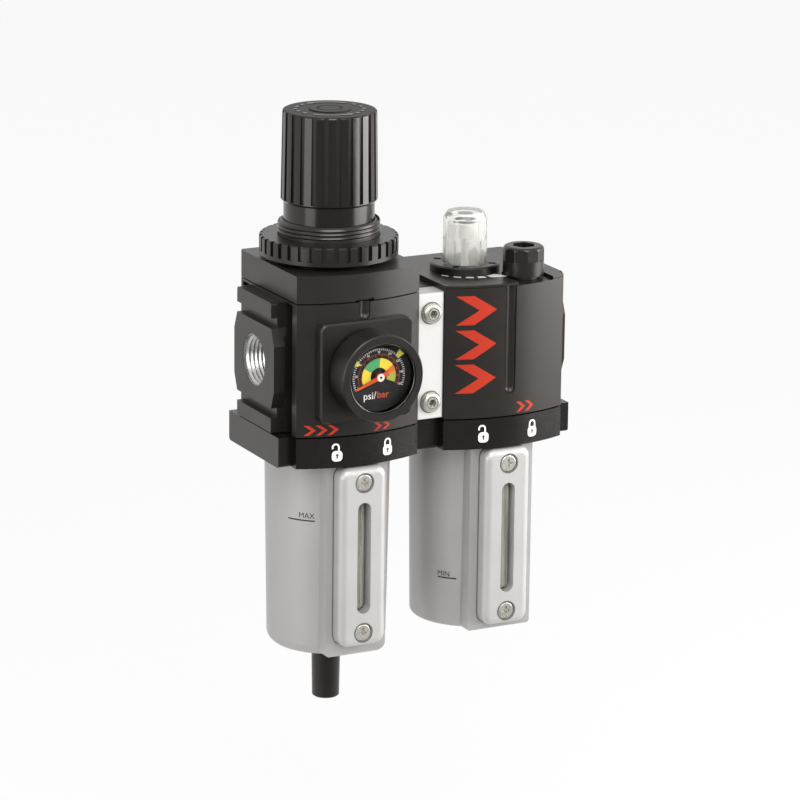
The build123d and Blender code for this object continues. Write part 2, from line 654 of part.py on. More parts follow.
drip_tube = post(dome_cx, dome_y, drip_well_floor + 0.2, 24.0, 2.6)
drip_tube += post(dome_cx, dome_y, 24.0, drip_tube_top, 1.6)
drip_tube -= post(dome_cx, dome_y, drip_well_floor - 2, drip_tube_top + 4, 0.8)
save(drip_tube, "drip_tube")
tip_top = drip_tube_top + 2.0
needle_valve = post(dome_cx, dome_y, tip_top, dome_top - 4.5, 3.2)
needle_valve += post(dome_cx, dome_y, drip_tube_top + 0.4, tip_top, 0.6, 3.2)
save(needle_valve, "needle_valve")
strainer_low = lubricator_bowl_bottom + bowl_floor + strainer_gap
tube_low = strainer_low + 2.2
dip_tube = post(dip_cx, dip_y, tube_low + 0.2, 10.0, dip_tube_r)
dip_tube -= post(dip_cx, dip_y, tube_low, 11.0, dip_tube_r - 1)
save(dip_tube, "dip_tube")
flow_vane = block((lubricator_x - 0.6, lubricator_x + 0.6), (-4.2, 4.2), (-4.0, 4.0))
save(flow_vane, "flow_vane")
strainer = post(dip_cx, dip_y, strainer_low, strainer_low + strainer_tall, strainer_r)
strainer -= post(dip_cx, dip_y, tube_low, strainer_low + strainer_tall + 1, dip_tube_r + dip_fit)
save(strainer, "oil_strainer")

fill_cap = post(cap_cx, cap_y, cap_bottom, cap_top, cap_r)
fill_cap = fillet(fill_cap.edges().filter_by(GeomType.CIRCLE).group_by(Axis.Z)[-1], 1.6)
fill_cap -= flats_round(cap_cx, cap_y, cap_ledge, cap_top, cap_r, cap_flats, cap_flat_deep)
fill_cap -= hexagon(cap_cx, cap_y, cap_top - 4.5, cap_top + 1, cap_hex_flat)
fill_cap += post(cap_cx, cap_y, cap_recess_z + 0.1, cap_bottom, cap_r - 1.7)
fill_cap += post(cap_cx, cap_y, lubricator_top - cap_plug_deep, cap_recess_z + 0.1, cap_plug_r)
cap_ring_z = lubricator_top - cap_plug_deep + 2.7
ring_seat = post(cap_cx, cap_y, cap_ring_z - 0.7, cap_ring_z + 0.7, cap_plug_r + 1)
fill_cap -= ring_seat - post(cap_cx, cap_y, cap_ring_z - 2, cap_ring_z + 2, cap_plug_r - 1.0)
save(fill_cap, "fill_cap")
cap_ring = Pos(cap_cx, cap_y, cap_ring_z) * Torus(cap_plug_r - 0.45, 0.53)
save(cap_ring, "fill_cap_ring")

# ------------------------------------------------------------ clamp between the modules
joint_x = filter_x + module_pitch / 2
grip = flange_thick - 0.1


def clamp_half(front):
    """One half of the clamp; its jaws hook into the channels of both modules."""
    side = -1 if front else 1
    near = side * (boss_half_y + jaw_gap)
    bar = side * (bar_half_y + jaw_gap)
    jaw = (side * (channel_near + jaw_gap), side * (channel_far - jaw_gap - 1))
    reach = grip + jaw_reach
    piece = block((joint_x - grip, joint_x + grip), sorted((near, side * clamp_half_y)), clamp_z)
    for z in ((clamp_z[0], -boss_half_z - jaw_gap), (boss_half_z + jaw_gap, clamp_z[1])):
        piece += block((joint_x - grip, joint_x + grip), sorted((bar, near)), z)
        piece += block((joint_x - reach, joint_x + reach), sorted(jaw), z)
    return piece


front_clamp = clamp_half(True)
front_clamp = fillet(front_clamp.faces().sort_by(Axis.Y)[0].edges(), 0.6)
rear_clamp = clamp_half(False)
rear_clamp = fillet(rear_clamp.faces().sort_by(Axis.Y)[-1].edges(), 0.6)
clamp_screws = None
for z in (-clamp_screw_z, clamp_screw_z):
    front_clamp -= along_y(-40, 0, joint_x, z, clamp_shank_r + 0.3)
    rear_clamp -= along_y(0, 40, joint_x, z, clamp_shank_r + screw_fit)
    head_front = -clamp_half_y - clamp_head_tall
    head = along_y(head_front, -clamp_half_y, joint_x, z, clamp_head_r)
    head = fillet(head.edges().filter_by(GeomType.CIRCLE).group_by(Axis.Y)[0], 1.4)
    recess = Plane((joint_x, head_front, z), x_dir=(1, 0, 0), z_dir=(0, 1, 0))
    head -= extrude(recess * RegularPolygon(socket_flat / 2, 6, major_radius=False), 1.7, dir=(0, 1, 0))
    screw = head + along_y(-clamp_half_y, clamp_half_y - 1.5, joint_x, z, clamp_shank_r)
    clamp_screws = screw if clamp_screws is None else clamp_screws + screw
save(front_clamp, "clamp_front")
save(rear_clamp, "clamp_rear")
save(clamp_screws, "clamp_screws")
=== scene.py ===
from math import cos, pi, radians, sin, sqrt

import bmesh
import bpy
from mathutils import Matrix, Vector


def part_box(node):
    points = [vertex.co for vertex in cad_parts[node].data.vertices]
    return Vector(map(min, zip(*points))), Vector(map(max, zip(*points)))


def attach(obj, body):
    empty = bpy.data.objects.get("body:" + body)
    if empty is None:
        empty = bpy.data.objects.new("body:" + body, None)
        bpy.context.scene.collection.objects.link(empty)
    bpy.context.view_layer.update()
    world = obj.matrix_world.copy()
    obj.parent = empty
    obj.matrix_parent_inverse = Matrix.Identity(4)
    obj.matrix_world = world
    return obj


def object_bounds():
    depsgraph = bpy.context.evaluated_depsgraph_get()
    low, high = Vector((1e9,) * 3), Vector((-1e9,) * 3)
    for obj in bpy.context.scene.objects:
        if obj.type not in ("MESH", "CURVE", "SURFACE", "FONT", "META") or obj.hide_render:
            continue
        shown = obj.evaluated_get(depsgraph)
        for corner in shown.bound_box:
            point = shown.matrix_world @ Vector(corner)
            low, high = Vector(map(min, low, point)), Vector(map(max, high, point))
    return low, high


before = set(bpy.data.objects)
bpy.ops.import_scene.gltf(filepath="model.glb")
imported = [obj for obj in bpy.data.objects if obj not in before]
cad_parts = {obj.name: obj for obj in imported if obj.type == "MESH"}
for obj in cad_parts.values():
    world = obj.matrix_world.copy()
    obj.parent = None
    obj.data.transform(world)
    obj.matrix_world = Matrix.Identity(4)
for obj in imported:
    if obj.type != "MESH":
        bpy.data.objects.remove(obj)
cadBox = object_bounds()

mm = 0.001

# middles of the two modules and of the dial, from the frame
filterLow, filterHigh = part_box("filter_front_cover")
oilLow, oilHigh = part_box("lubricator_front_cover")
filterX = (filterLow.x + filterHigh.x) / 2
oilX = (oilLow.x + oilHigh.x) / 2
dialLow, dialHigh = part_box("gauge_dial")
dialZ = (dialLow.z + dialHigh.z) / 2
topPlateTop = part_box("lubricator_top_plate")[1].z

cameraValues = {
    "place": (-0.671508, -1.437754, 0.416193),
    "right": (0.890931, -0.453985, 0.011813),
    "up": (0.109309, 0.239619, 0.964694),
    "back": (-0.440787, -0.858184, 0.263109),
    "lens": 181.593,
    "sensor": 36,
    "near": 0.1,
    "far": 20,
}
cameraData = bpy.data.cameras.new("camera")
cameraData.lens = cameraValues["lens"]
cameraData.sensor_width = cameraValues["sensor"]
cameraData.clip_start = cameraValues["near"]
cameraData.clip_end = cameraValues["far"]
camera = bpy.data.objects.new("camera", cameraData)
bpy.context.scene.collection.objects.link(camera)
turn = Matrix([cameraValues["right"], cameraValues["up"], cameraValues["back"]]).transposed()
camera.matrix_world = Matrix.Translation(cameraValues["place"]) @ turn.to_4x4()
bpy.context.scene.camera = camera
bpy.context.scene.view_settings.view_transform = "Standard"


class Wire:  # a socket that can be used in sums
    def __init__(self, recipe, socket):
        self.recipe = recipe
        self.socket = socket

    def joined(self, how, other, swapped=False):
        first, second = (other, self) if swapped else (self, other)
        return self.recipe.add("ShaderNodeMath", {"operation": how}, {0: first, 1: second})

    def __add__(self, other):
        return self.joined("ADD", other)

    def __radd__(self, other):
        return self.joined("ADD", other, True)

    def __sub__(self, other):
        return self.joined("SUBTRACT", other)

    def __rsub__(self, other):
        return self.joined("SUBTRACT", other, True)

    def __mul__(self, other):
        return self.joined("MULTIPLY", other)

    def __rmul__(self, other):
        return self.joined("MULTIPLY", other, True)

    def __gt__(self, other):
        return self.joined("GREATER_THAN", other)


class Recipe:  # one material and its nodes
    def __init__(self, name):
        self.material = bpy.data.materials.new(name)
        self.material.use_nodes = True
        self.tree = self.material.node_tree
        self.tree.nodes.clear()
        self.place = self.add("ShaderNodeTexCoord", output="Object")

    def add(self, kind, settings=None, inputs=None, output=0):
        node = self.tree.nodes.new(kind)
        for key, value in (settings or {}).items():
            setattr(node, key, value)
        for key, value in (inputs or {}).items():
            if isinstance(value, Wire):
                self.tree.links.new(value.socket, node.inputs[key])
            else:
                node.inputs[key].default_value = value
        return Wire(self, node.outputs[output])

    def noise(self, size, detail=2.0, roughness=0.5, stretch=(1, 1, 1)):  # size is a grain's width in metres
        where = self.add("ShaderNodeMapping", {}, {"Vector": self.place, "Scale": stretch})
        values = {"Vector": where, "Scale": 1.0 / size, "Detail": detail, "Roughness": roughness}
        return self.add("ShaderNodeTexNoise", {}, values)

    def mix(self, amount, first, second):
        values = {0: amount, 6: rgba(first), 7: rgba(second)}
        return self.add("ShaderNodeMix", {"data_type": "RGBA"}, values, 2)

    def bump(self, height, depth, strength=1.0):
        return self.add("ShaderNodeBump", {}, {"Height": height, "Distance": depth, "Strength": strength})

    def surface(self, values):
        self.finishWith(self.add("ShaderNodeBsdfPrincipled", {}, values))
        return self.material

    def finishWith(self, shader):
        end = self.tree.nodes.new("ShaderNodeOutputMaterial")
        self.tree.links.new(shader.socket, end.inputs["Surface"])


def rgba(colour):
    if isinstance(colour, Wire):
        return colour
    return (*colour, 1.0)


darkValues = {
    "castPaint": {
        "dark": (0.0070, 0.0058, 0.0052),
        "light": (0.012, 0.0100, 0.0090),
        "roughness": 0.36,
        "grain": 0.6,
    },
    "coverPlastic": {
        "dark": (0.0066, 0.0055, 0.0050),
        "light": (0.011, 0.0094, 0.0086),
        "roughness": 0.35,
        "grain": 0.35,
    },
    "collarPlastic": {
        "dark": (0.0025, 0.0024, 0.0024),
        "light": (0.0050, 0.0048, 0.0048),
        "roughness": 0.27,
        "grain": 0.4,
    },
    "knobPlastic": {
        "dark": (0.0045, 0.0043, 0.0042),
        "light": (0.008, 0.0076, 0.0074),
        "roughness": 0.19,
        "grain": 0.8,
    },
    "blackPlastic": {
        "dark": (0.0055, 0.0050, 0.0048),
        "light": (0.009, 0.0084, 0.0080),
        "roughness": 0.33,
        "grain": 0.5,
    },
}


warmGloss = (1.0, 0.93, 0.88)
knobValues = {"ribFoot": 63.5, "ribRadius": 18.95, "groove": (0.0012, 0.0012, 0.0012), "dull": 0.55}


def darkFinish(name):  # moulded or painted black with a fine grain
    values = darkValues[name]
    recipe = Recipe(name)
    broad = recipe.noise(12 * mm, 3.0, 0.55)
    grain = recipe.noise(values["grain"] * mm, 2.0, 0.6)
    return recipe.surface(
        {
            "Base Color": recipe.mix(broad * 0.6 + grain * 0.4, values["dark"], values["light"]),
            "Roughness": values["roughness"] + (broad - 0.5) * 0.10 + (grain - 0.5) * 0.08,
            "Specular Tint": rgba(warmGloss),
            "Normal": recipe.bump(grain, 0.02 * mm, 0.35),
        }
    )


def knobFinish():  # black ribs polished by hands, duller grooves between them whose colour is painted near-black as shade
    values = darkValues["knobPlastic"]
    recipe = Recipe("knobGrip")
    centred = {"Vector": recipe.place, "Location": (-filterX, 0, 0), "Scale": (1, 1, 0)}
    middle = recipe.add("ShaderNodeMapping", {}, centred)
    radius = recipe.add("ShaderNodeVectorMath", {"operation": "LENGTH"}, {0: middle}, 1)
    height = recipe.add("ShaderNodeSeparateXYZ", {}, {0: recipe.place}, 2)
    # the grooves' near-black colour is painted shade; their higher roughness is real
    groove = (height > knobValues["ribFoot"] * mm) * (1 - (radius > knobValues["ribRadius"] * mm))
    rib = 1 - groove
    dull = knobValues["dull"]
    grain = recipe.noise(values["grain"] * mm, 2.0, 0.6)
    ribGrain = recipe.mix(grain, values["dark"], values["light"])
    return recipe.surface(
        {
            "Base Color": recipe.mix(rib, knobValues["groove"], ribGrain),
            "Roughness": dull - rib * (dull - values["roughness"]) + (grain - 0.5) * 0.08,
            "Specular Tint": rgba(warmGloss),
            "Normal": recipe.bump(grain, 0.02 * mm, 0.35),
        }
    )


metalValues = {
    "bowlSilver": {
        "dark": (0.34, 0.333, 0.326),
        "light": (0.43, 0.422, 0.414),
        "metal": 0.35,
        "roughness": 0.38,
        "grain": 0.4,
    },
    "plateSilver": {
        "dark": (0.41, 0.40, 0.39),
        "light": (0.51, 0.50, 0.49),
        "metal": 0.35,
        "roughness": 0.38,
        "grain": 0.4,
    },
    "clampSilver": {
        "dark": (0.54, 0.53, 0.51),
        "light": (0.62, 0.61, 0.59),
        "metal": 0.2,
        "roughness": 0.44,
        "grain": 0.5,
    },
    "nickel": {
        "dark": (0.46, 0.44, 0.39),
        "light": (0.82, 0.79, 0.72),
        "metal": 0.8,
        "roughness": 0.28,
        "grain": 0.9,
    },
    "machined": {
        "dark": (0.44, 0.44, 0.43),
        "light": (0.62, 0.62, 0.61),
        "metal": 0.9,
        "roughness": 0.28,
        "grain": 0.7,
    },
    "brass": {
        "dark": (0.55, 0.40, 0.16),
        "light": (0.75, 0.58, 0.27),
        "metal": 1.0,
        "roughness": 0.3,
        "grain": 0.9,
    },
    "springWire": {
        "dark": (0.32, 0.32, 0.33),
        "light": (0.50, 0.50, 0.51),
        "metal": 1.0,
        "roughness": 0.35,
        "grain": 0.8,
    },
    "polishedEdge": {
        "dark": (0.14, 0.14, 0.14),
        "light": (0.24, 0.24, 0.23),
        "metal": 0.9,
        "roughness": 0.16,
        "grain": 1.5,
    },
}


def metalFinish(name):  # a blasted, plated or turned metal
    values = metalValues[name]
    recipe = Recipe(name)
    broad = recipe.noise(15 * mm, 3.0, 0.5)
    grain = recipe.noise(values["grain"] * mm, 3.0, 0.65)
    return recipe.surface(
        {
            "Base Color": recipe.mix(broad * 0.5 + grain * 0.5, values["dark"], values["light"]),
            "Metallic": values["metal"],
            "Roughness": values["roughness"] + (grain - 0.5) * 0.18 + (broad - 0.5) * 0.08,
            "Normal": recipe.bump(grain, 0.015 * mm, 0.4),
        }
    )


clearValues = {
    "clearDome": {"tint": (0.93, 0.93, 0.89), "roughness": 0.06, "ior": 1.40, "through": 0.80},
    "clearLens": {"tint": (0.98, 0.98, 0.98), "roughness": 0.01, "ior": 1.12, "through": 1.0},
    "frostedPlastic": {"tint": (0.95, 0.955, 0.94), "roughness": 0.35, "ior": 1.36, "through": 0.4},
}


def clearFinish(name):
    values = clearValues[name]
    recipe = Recipe(name)
    ripple = recipe.noise(4 * mm, 2.0, 0.5)
    brighter = [min(1.0, part * 1.03) for part in values["tint"]]
    return recipe.surface(
        {
            "Base Color": recipe.mix(ripple, values["tint"], brighter),
            "Roughness": values["roughness"] + ripple * 0.03,
            "IOR": values["ior"],
            "Transmission Weight": values["through"],
            "Normal": recipe.bump(ripple, 0.05 * mm, 0.3),
        }
    )


printValues = {
    "printWhite": {"colour": (0.82, 0.82, 0.80), "roughness": 0.42},
    "printRed": {"colour": (0.43, 0.027, 0.008), "roughness": 0.45},
    "printBlack": {"colour": (0.02, 0.02, 0.02), "roughness": 0.42},
    "dialBlack": {"colour": (0.012, 0.012, 0.012), "roughness": 0.6},
    "dialYellow": {"colour": (0.74, 0.58, 0.05), "roughness": 0.6},
    "dialGreen": {"colour": (0.075, 0.33, 0.12), "roughness": 0.6},
    "dialOrange": {"colour": (0.70, 0.14, 0.03), "roughness": 0.6},
    "dialOlive": {"colour": (0.36, 0.40, 0.06), "roughness": 0.6},
    "needleRed": {"colour": (0.58, 0.075, 0.022), "roughness": 0.45},
    "needleWhite": {"colour": (0.78, 0.68, 0.64), "roughness": 0.4},
    "markerYellow": {"colour": (0.68, 0.60, 0.09), "roughness": 0.45},
    # seamShade is painted shade, not ink: the dark lines round the window plates and round the screw heads
    "seamShade": {"colour": (0.10, 0.10, 0.10), "roughness": 0.7},
}


def printFinish(name):  # ink or moulded colour, slightly uneven
    values = printValues[name]
    recipe = Recipe(name)
    speck = recipe.noise(0.3 * mm, 2.0, 0.6)
    darker = [part * 0.86 for part in values["colour"]]
    return recipe.surface(
        {
            "Base Color": recipe.mix(speck, darker, values["colour"]),
            "Roughness": values["roughness"] + (speck - 0.5) * 0.1,
            "Specular IOR Level": 0.25,
            "Normal": recipe.bump(speck, 0.01 * mm, 0.25),
        }
    )


rubberValues = {"dark": (0.010, 0.010, 0.010), "light": (0.020, 0.020, 0.020), "roughness": 0.62}
levelGlassValues = {"dark": (0.10, 0.11, 0.09), "light": (0.37, 0.38, 0.33), "roughness": 0.16, "coat": 0.4}
sinteredValues = {"dark": (0.72, 0.70, 0.64), "light": (0.85, 0.84, 0.80), "roughness": 0.75, "cells": 1800.0}


def rubberFinish():
    recipe = Recipe("sealRubber")
    bloom = recipe.noise(3 * mm, 4.0, 0.6)
    return recipe.surface(
        {
            "Base Color": recipe.mix(bloom, rubberValues["dark"], rubberValues["light"]),
            "Roughness": rubberValues["roughness"] + bloom * 0.15,
            "Normal": recipe.bump(bloom, 0.03 * mm, 0.3),
        }
    )


def levelGlassFinish():  # thick moulded window, grey-green with cloudy streaks
    recipe = Recipe("levelGlass")
    streak = recipe.noise(1.8 * mm, 3.0, 0.6, (1.0, 1.0, 0.06))
    fine = recipe.noise(0.8 * mm, 3.0, 0.6, (1.0, 1.0, 0.5))
    cloud = (streak - 0.5) * 2.2 + 0.35 + fine * 0.3
    return recipe.surface(
        {
            "Base Color": recipe.mix(cloud, levelGlassValues["dark"], levelGlassValues["light"]),
            "Roughness": levelGlassValues["roughness"] + fine * 0.12,
            "Coat Weight": levelGlassValues["coat"] + fine * 0.4,
            "Coat Roughness": 0.05,
            "Normal": recipe.bump(streak, 0.2 * mm, 0.3),
        }
    )


def sinteredFinish():
    recipe = Recipe("sintered")
    size = {"Vector": recipe.place, "Scale": sinteredValues["cells"]}
    cell = recipe.add("ShaderNodeTexVoronoi", {}, size)
    return recipe.surface(
        {
            "Base Color": recipe.mix(cell, sinteredValues["dark"], sinteredValues["light"]),
            "Roughness": sinteredValues["roughness"] + cell * 0.1,
            "Normal": recipe.bump(cell, 0.2 * mm, 0.6),
        }
    )


finishes = {name: darkFinish(name) for name in darkValues}
finishes.update({name: metalFinish(name) for name in metalValues})
finishes.update({name: clearFinish(name) for name in clearValues})
finishes.update({name: printFinish(name) for name in printValues})
finishes["knobGrip"] = knobFinish()
finishes["levelGlass"] = levelGlassFinish()
finishes["sealRubber"] = rubberFinish()
finishes["sintered"] = sinteredFinish()
print("materials made:", len(finishes))

nodeFinish = {  # nodes not named here are seals
    "filter_body": "castPaint",
    "lubricator_body": "castPaint",
    "filter_front_cover": "coverPlastic",
    "lubricator_front_cover": "coverPlastic",
    "lubricator_top_plate": "coverPlastic",
    "bonnet": "coverPlastic",
    "filter_lock_collar": "collarPlastic",
    "lubricator_lock_collar": "collarPlastic",
    "panel_nut": "blackPlastic",
    "adjusting_knob": "knobGrip",
    "drip_ring": "blackPlastic",
    "fill_cap": "blackPlastic",
    "gauge_case": "blackPlastic",
    "gauge_bezel": "blackPlastic",
    "drain_stem": "blackPlastic",
    "drain_cage": "blackPlastic",
    "deflector": "blackPlastic",
    "filter_baffle": "blackPlastic",
    "valve_guide": "blackPlastic",
    "filter_bowl": "bowlSilver",
    "lubricator_bowl": "bowlSilver",
    "filter_window_plate": "plateSilver",
    "lubricator_window_plate": "plateSilver",
    "clamp_front": "clampSilver",
    "clamp_rear": "clampSilver",
    "clamp_screws": "nickel",
    "filter_window_screws": "nickel",
    "lubricator_window_screws": "nickel",
    "filter_sight_glass": "levelGlass",
    "lubricator_sight_glass": "levelGlass",
    "gauge_lens": "clearLens",
    "sight_dome": "clearDome",
    "dip_tube": "frostedPlastic",
    "drip_tube": "frostedPlastic",
    "needle_valve": "frostedPlastic",
    "gauge_dial": "dialBlack",
    "gauge_needle": "needleRed",
    "gauge_marker_low": "markerYellow",
    "gauge_marker_high": "markerYellow",
    "filter_element": "sintered",
    "oil_strainer": "sintered",
    "adjusting_screw": "brass",
    "spring_button": "brass",
    "diaphragm_plate": "brass",
    "valve_poppet": "brass",
    "element_tie_rod": "brass",
    "control_spring": "springWire",
    "valve_spring": "springWire",
    "drain_spring": "springWire",
}
for name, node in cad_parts.items():
    node.data.materials.clear()
    node.data.materials.append(finishes[nodeFinish.get(name, "sealRubber")])


facing = {  # turns a flat shape, drawn with X right and Y up, to face the front or the sky
    "front": Matrix.Rotation(pi / 2, 4, "X"),
    "top": Matrix.Identity(4),
}


def asPiece(name, shape, finish, body, sharp=35):
    bmesh.ops.remove_doubles(shape, verts=shape.verts, dist=1e-7)
    bmesh.ops.recalc_face_normals(shape, faces=shape.faces)
    mesh = bpy.data.meshes.new(name)
    shape.to_mesh(mesh)
    shape.free()
    for face in mesh.polygons:
        face.use_smooth = True
    mesh.set_sharp_from_angle(angle=radians(sharp))
    mesh.materials.append(finishes[finish])
    piece = bpy.data.objects.new(name, mesh)
    bpy.context.scene.collection.objects.link(piece)
    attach(piece, body)
    return piece


def addOutline(shape, points, place, thick, side="front"):  # a thin plate from its outline in mm
    verts = [shape.verts.new((x * mm, y * mm, 0)) for x, y in points]
    face = shape.faces.new(verts)
    grown = bmesh.ops.extrude_face_region(shape, geom=[face])["geom"]
    moved = [item for item in grown if isinstance(item, bmesh.types.BMVert)]
    bmesh.ops.translate(shape, verts=moved, vec=(0, 0, thick * mm))
    bmesh.ops.transform(shape, verts=verts + moved, matrix=Matrix.Translation(place) @ facing[side])
    return verts + moved


def arcPoints(radius, start, end, steps):  # angles in degrees, anticlockwise from the right
    angles = [radians(start + (end - start) * step / steps) for step in range(steps + 1)]
    return [(radius * cos(angle), radius * sin(angle)) for angle in angles]


def addBand(shape, inner, outer, start, end, place, thick, side="front"):
    steps = max(2, round(abs(end - start) / 6))
    outline = arcPoints(outer, start, end, steps) + arcPoints(inner, end, start, steps)
    return addOutline(shape, outline, place, thick, side)


def addDisc(shape, radius, place, thick, side="front"):
    return addOutline(shape, arcPoints(radius, 0, 345, 23), place, thick, side)


def addLetters(shape, words, place, tall, thick, narrow=1.0, side="front"):  # centred on its place
    curve = bpy.data.curves.new("letters", "FONT")
    curve.body = words
    curve.size = tall * 1.4 * mm
    curve.align_x = "CENTER"
    curve.align_y = "CENTER"
    curve.extrude = thick * mm / 2
    curve.resolution_u = 3
    writer = bpy.data.objects.new("letters", curve)
    mesh = bpy.data.meshes.new_from_object(writer)
    before = set(shape.verts)
    shape.from_mesh(mesh)
    made = [vert for vert in shape.verts if vert not in before]
    squeeze = Matrix.Diagonal((narrow, 1, 1, 1))
    lift = Matrix.Translation((0, 0, thick * mm / 2))
    bmesh.ops.transform(shape, verts=made, matrix=Matrix.Translation(place) @ facing[side] @ lift @ squeeze)
    bpy.data.objects.remove(writer)
    bpy.data.meshes.remove(mesh)
    bpy.data.curves.remove(curve)
    return made


bowValues = {"cornerY": -27.5, "columnStep": 1.5}
bowHalf = (oilHigh.x - oilLow.x) / 2
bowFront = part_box("lubricator_lock_collar")[0].y
bowRise = bowValues["cornerY"] * mm - bowFront
bowRadius = (bowHalf**2 + bowRise**2) / (2 * bowRise)


def wrapFront(shape, middle):  # lays flat shapes drawn at Y 0 on a module's bowed front
    low = min(vert.co.x for vert in shape.verts)
    high = max(vert.co.x for vert in shape.verts)
    step = bowValues["columnStep"] * mm
    for column in range(1, int((high - low) / step) + 1):
        everything = [*shape.verts, *shape.edges, *shape.faces]
        across = (low + column * step, 0, 0)
        bmesh.ops.bisect_plane(shape, geom=everything, plane_co=across, plane_no=(1, 0, 0))
    for vert in shape.verts:
        vert.co.y += bowFront + bowRadius - sqrt(bowRadius**2 - (vert.co.x - middle) ** 2)


def wrapRound(shape, middle, radius):  # lays flat shapes drawn at Y 0 round a bowl of that radius
    for vert in shape.verts:
        angle = (vert.co.x - middle) / radius
        out = radius - vert.co.y
        vert.co.x = middle + out * sin(angle)
        vert.co.y = -out * cos(angle)


def addRounded(shape, wide, tall, corner, place, thick):  # a thin plate with round corners, facing the front
    points = ((-wide / 2, -tall / 2), (wide / 2, -tall / 2), (wide / 2, tall / 2), (-wide / 2, tall / 2))
    verts = [shape.verts.new((x * mm, y * mm, 0)) for x, y in points]
    shape.faces.new(verts)
    values = {"affect": "VERTICES", "offset": corner * mm, "segments": 4, "profile": 0.5, "material": -1}
    rounded = bmesh.ops.bevel(shape, geom=verts, **values)
    face = next(face for face in shape.faces if set(rounded["verts"]) <= set(face.verts))
    grown = bmesh.ops.extrude_face_region(shape, geom=[face])["geom"]
    moved = [item for item in grown if isinstance(item, bmesh.types.BMVert)]
    bmesh.ops.translate(shape, verts=moved, vec=(0, 0, thick * mm))
    both = rounded["verts"] + moved
    bmesh.ops.transform(shape, verts=both, matrix=Matrix.Translation(place) @ facing["front"])
    return both


padlockValues = {
    "wide": 4.4,
    "tall": 4.4,
    "corner": 1.5,
    "shackle": 1.65,
    "wire": 0.7,
    "leg": 1.5,
    "side": 11.4,
    "height": -35.0,
    "thick": 0.06,
    "hole": 0.55,
    "holeRise": 0.35,
    "slot": (0.28, -1.1, 0.2),
    "inset": 0.02,
}


def addPadlock(shape, x, z, opened):
    values = padlockValues
    thick = values["thick"]
    outer = values["shackle"]
    inner = outer - values["wire"]
    leg = values["leg"]
    addRounded(shape, values["wide"], values["tall"], values["corner"], (x, 0, z), thick)
    if opened:
        place = (x - 0.6 * mm, 0, z + (values["tall"] / 2 + leg) * mm)
        addBand(shape, inner, outer, -20, 205, place, thick)
        corners = [(inner, -leg - 0.3), (outer, -leg - 0.3), (outer, -0.4), (inner, -0.4)]
        addOutline(shape, corners, place, thick)
        return
    place = (x, 0, z + (values["tall"] / 2 + leg - 0.3) * mm)
    addBand(shape, inner, outer, 0, 180, place, thick)
    for left, right in ((inner, outer), (-outer, -inner)):
        addOutline(shape, [(left, -leg), (right, -leg), (right, 0), (left, 0)], place, thick)


def addKeyhole(shape, x, z):
    values = padlockValues
    proud = -values["thick"] * mm
    half, low, high = values["slot"]
    corners = [(-half, low), (half, low), (half, high), (-half, high)]
    addDisc(shape, values["hole"], (x, proud, z + values["holeRise"] * mm), values["inset"])
    addOutline(shape, corners, (x, proud, z), values["inset"])


for label, middle in (("filter", filterX), ("lubricator", oilX)):
    white = bmesh.new()
    dark = bmesh.new()
    for side in (-1, 1):
        x = middle + side * padlockValues["side"] * mm
        addPadlock(white, x, padlockValues["height"] * mm, side < 0)
        addKeyhole(dark, x, padlockValues["height"] * mm)
    for shape in (white, dark):
        wrapFront(shape, middle)
        bmesh.ops.translate(shape, verts=shape.verts, vec=(0, -0.02 * mm, 0))
    asPiece(label + "Padlocks", white, "printWhite", "modules")
    asPiece(label + "Keyholes", dark, "printBlack", "modules")
print("padlocks made")


arrowValues = {  # red arrowheads that show the way the air flows, in mm from a module's middle
    "lubricator": [(-15.0, 4.6 + 14.4 * step, 17.0, 12.2, 7.4) for step in (-1, 0, 1)]
    + [(5.4 + 4.2 * step, -23.5, 4.4, 4.4, 1.8) for step in range(2)],
    "filter": [(-22.4 + 4.6 * step, -23.8, 4.8, 4.2, 1.9) for step in range(3)]
    + [(6.6 + 4.0 * step, -24.3, 4.0, 3.4, 1.6) for step in range(2)],
    "thick": 0.05,
}


def addArrowhead(shape, place, wide, tall, stroke):
    right = wide / 2
    up = tall / 2
    notch = [(-right, up), (right - stroke, 0), (-right, -up)]
    points = notch + [(stroke - right, -up), (right, 0), (stroke - right, up)]
    addOutline(shape, points, place, arrowValues["thick"])


for label, middle in (("filter", filterX), ("lubricator", oilX)):
    red = bmesh.new()
    for x, z, wide, tall, stroke in arrowValues[label]:
        addArrowhead(red, (middle + x * mm, 0, z * mm), wide, tall, stroke)
    wrapFront(red, middle)
    bmesh.ops.translate(red, verts=red.verts, vec=(0, -0.03 * mm, 0))
    asPiece(label + "Arrowheads", red, "printRed", "modules")
print("arrowheads made")


levelValues = {  # marks at the left of each window: angles round the bowl in degrees, heights in mm
    "filter": {
        "word": "MAX",
        "middle": -45.0,
        "height": -63.3,
        "line": (-64.0, -37.0),
        "lineHeight": -65.6,
    },
    "lubricator": {
        "word": "MIN",
        "middle": -52.6,
        "height": -97.6,
        "line": (-58.5, -39.5),
        "lineHeight": -99.5,
    },
    "tall": 2.3,
    "lineTall": 0.55,
    "thick": 0.05,
    "taper": 1.2,
    "lift": 0.03,
}
for label, middle in (("filter", filterX), ("lubricator", oilX)):
    values = levelValues[label]
    low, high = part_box(label + "_bowl")
    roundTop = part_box(label + "_lock_collar")[0].z
    lower = (roundTop - values["lineHeight"] * mm) / (roundTop - low.z)
    radius = (high.x - low.x) / 2 - levelValues["taper"] * mm * lower + levelValues["lift"] * mm
    shape = bmesh.new()
    place = (middle + radius * radians(values["middle"]), 0, values["height"] * mm)
    addLetters(shape, values["word"], place, levelValues["tall"], levelValues["thick"])
    start, end = (radius / mm * radians(angle) for angle in values["line"])
    points = [(start + (end - start) * step / 8, 0) for step in range(9)]
    points += [(x, levelValues["lineTall"]) for x, _ in reversed(points)]
    addOutline(shape, points, (middle, 0, values["lineHeight"] * mm), levelValues["thick"])
    wrapRound(shape, middle, radius)
    asPiece(label + "LevelMark", shape, "printBlack", label + "_bowl")
print("level marks made")


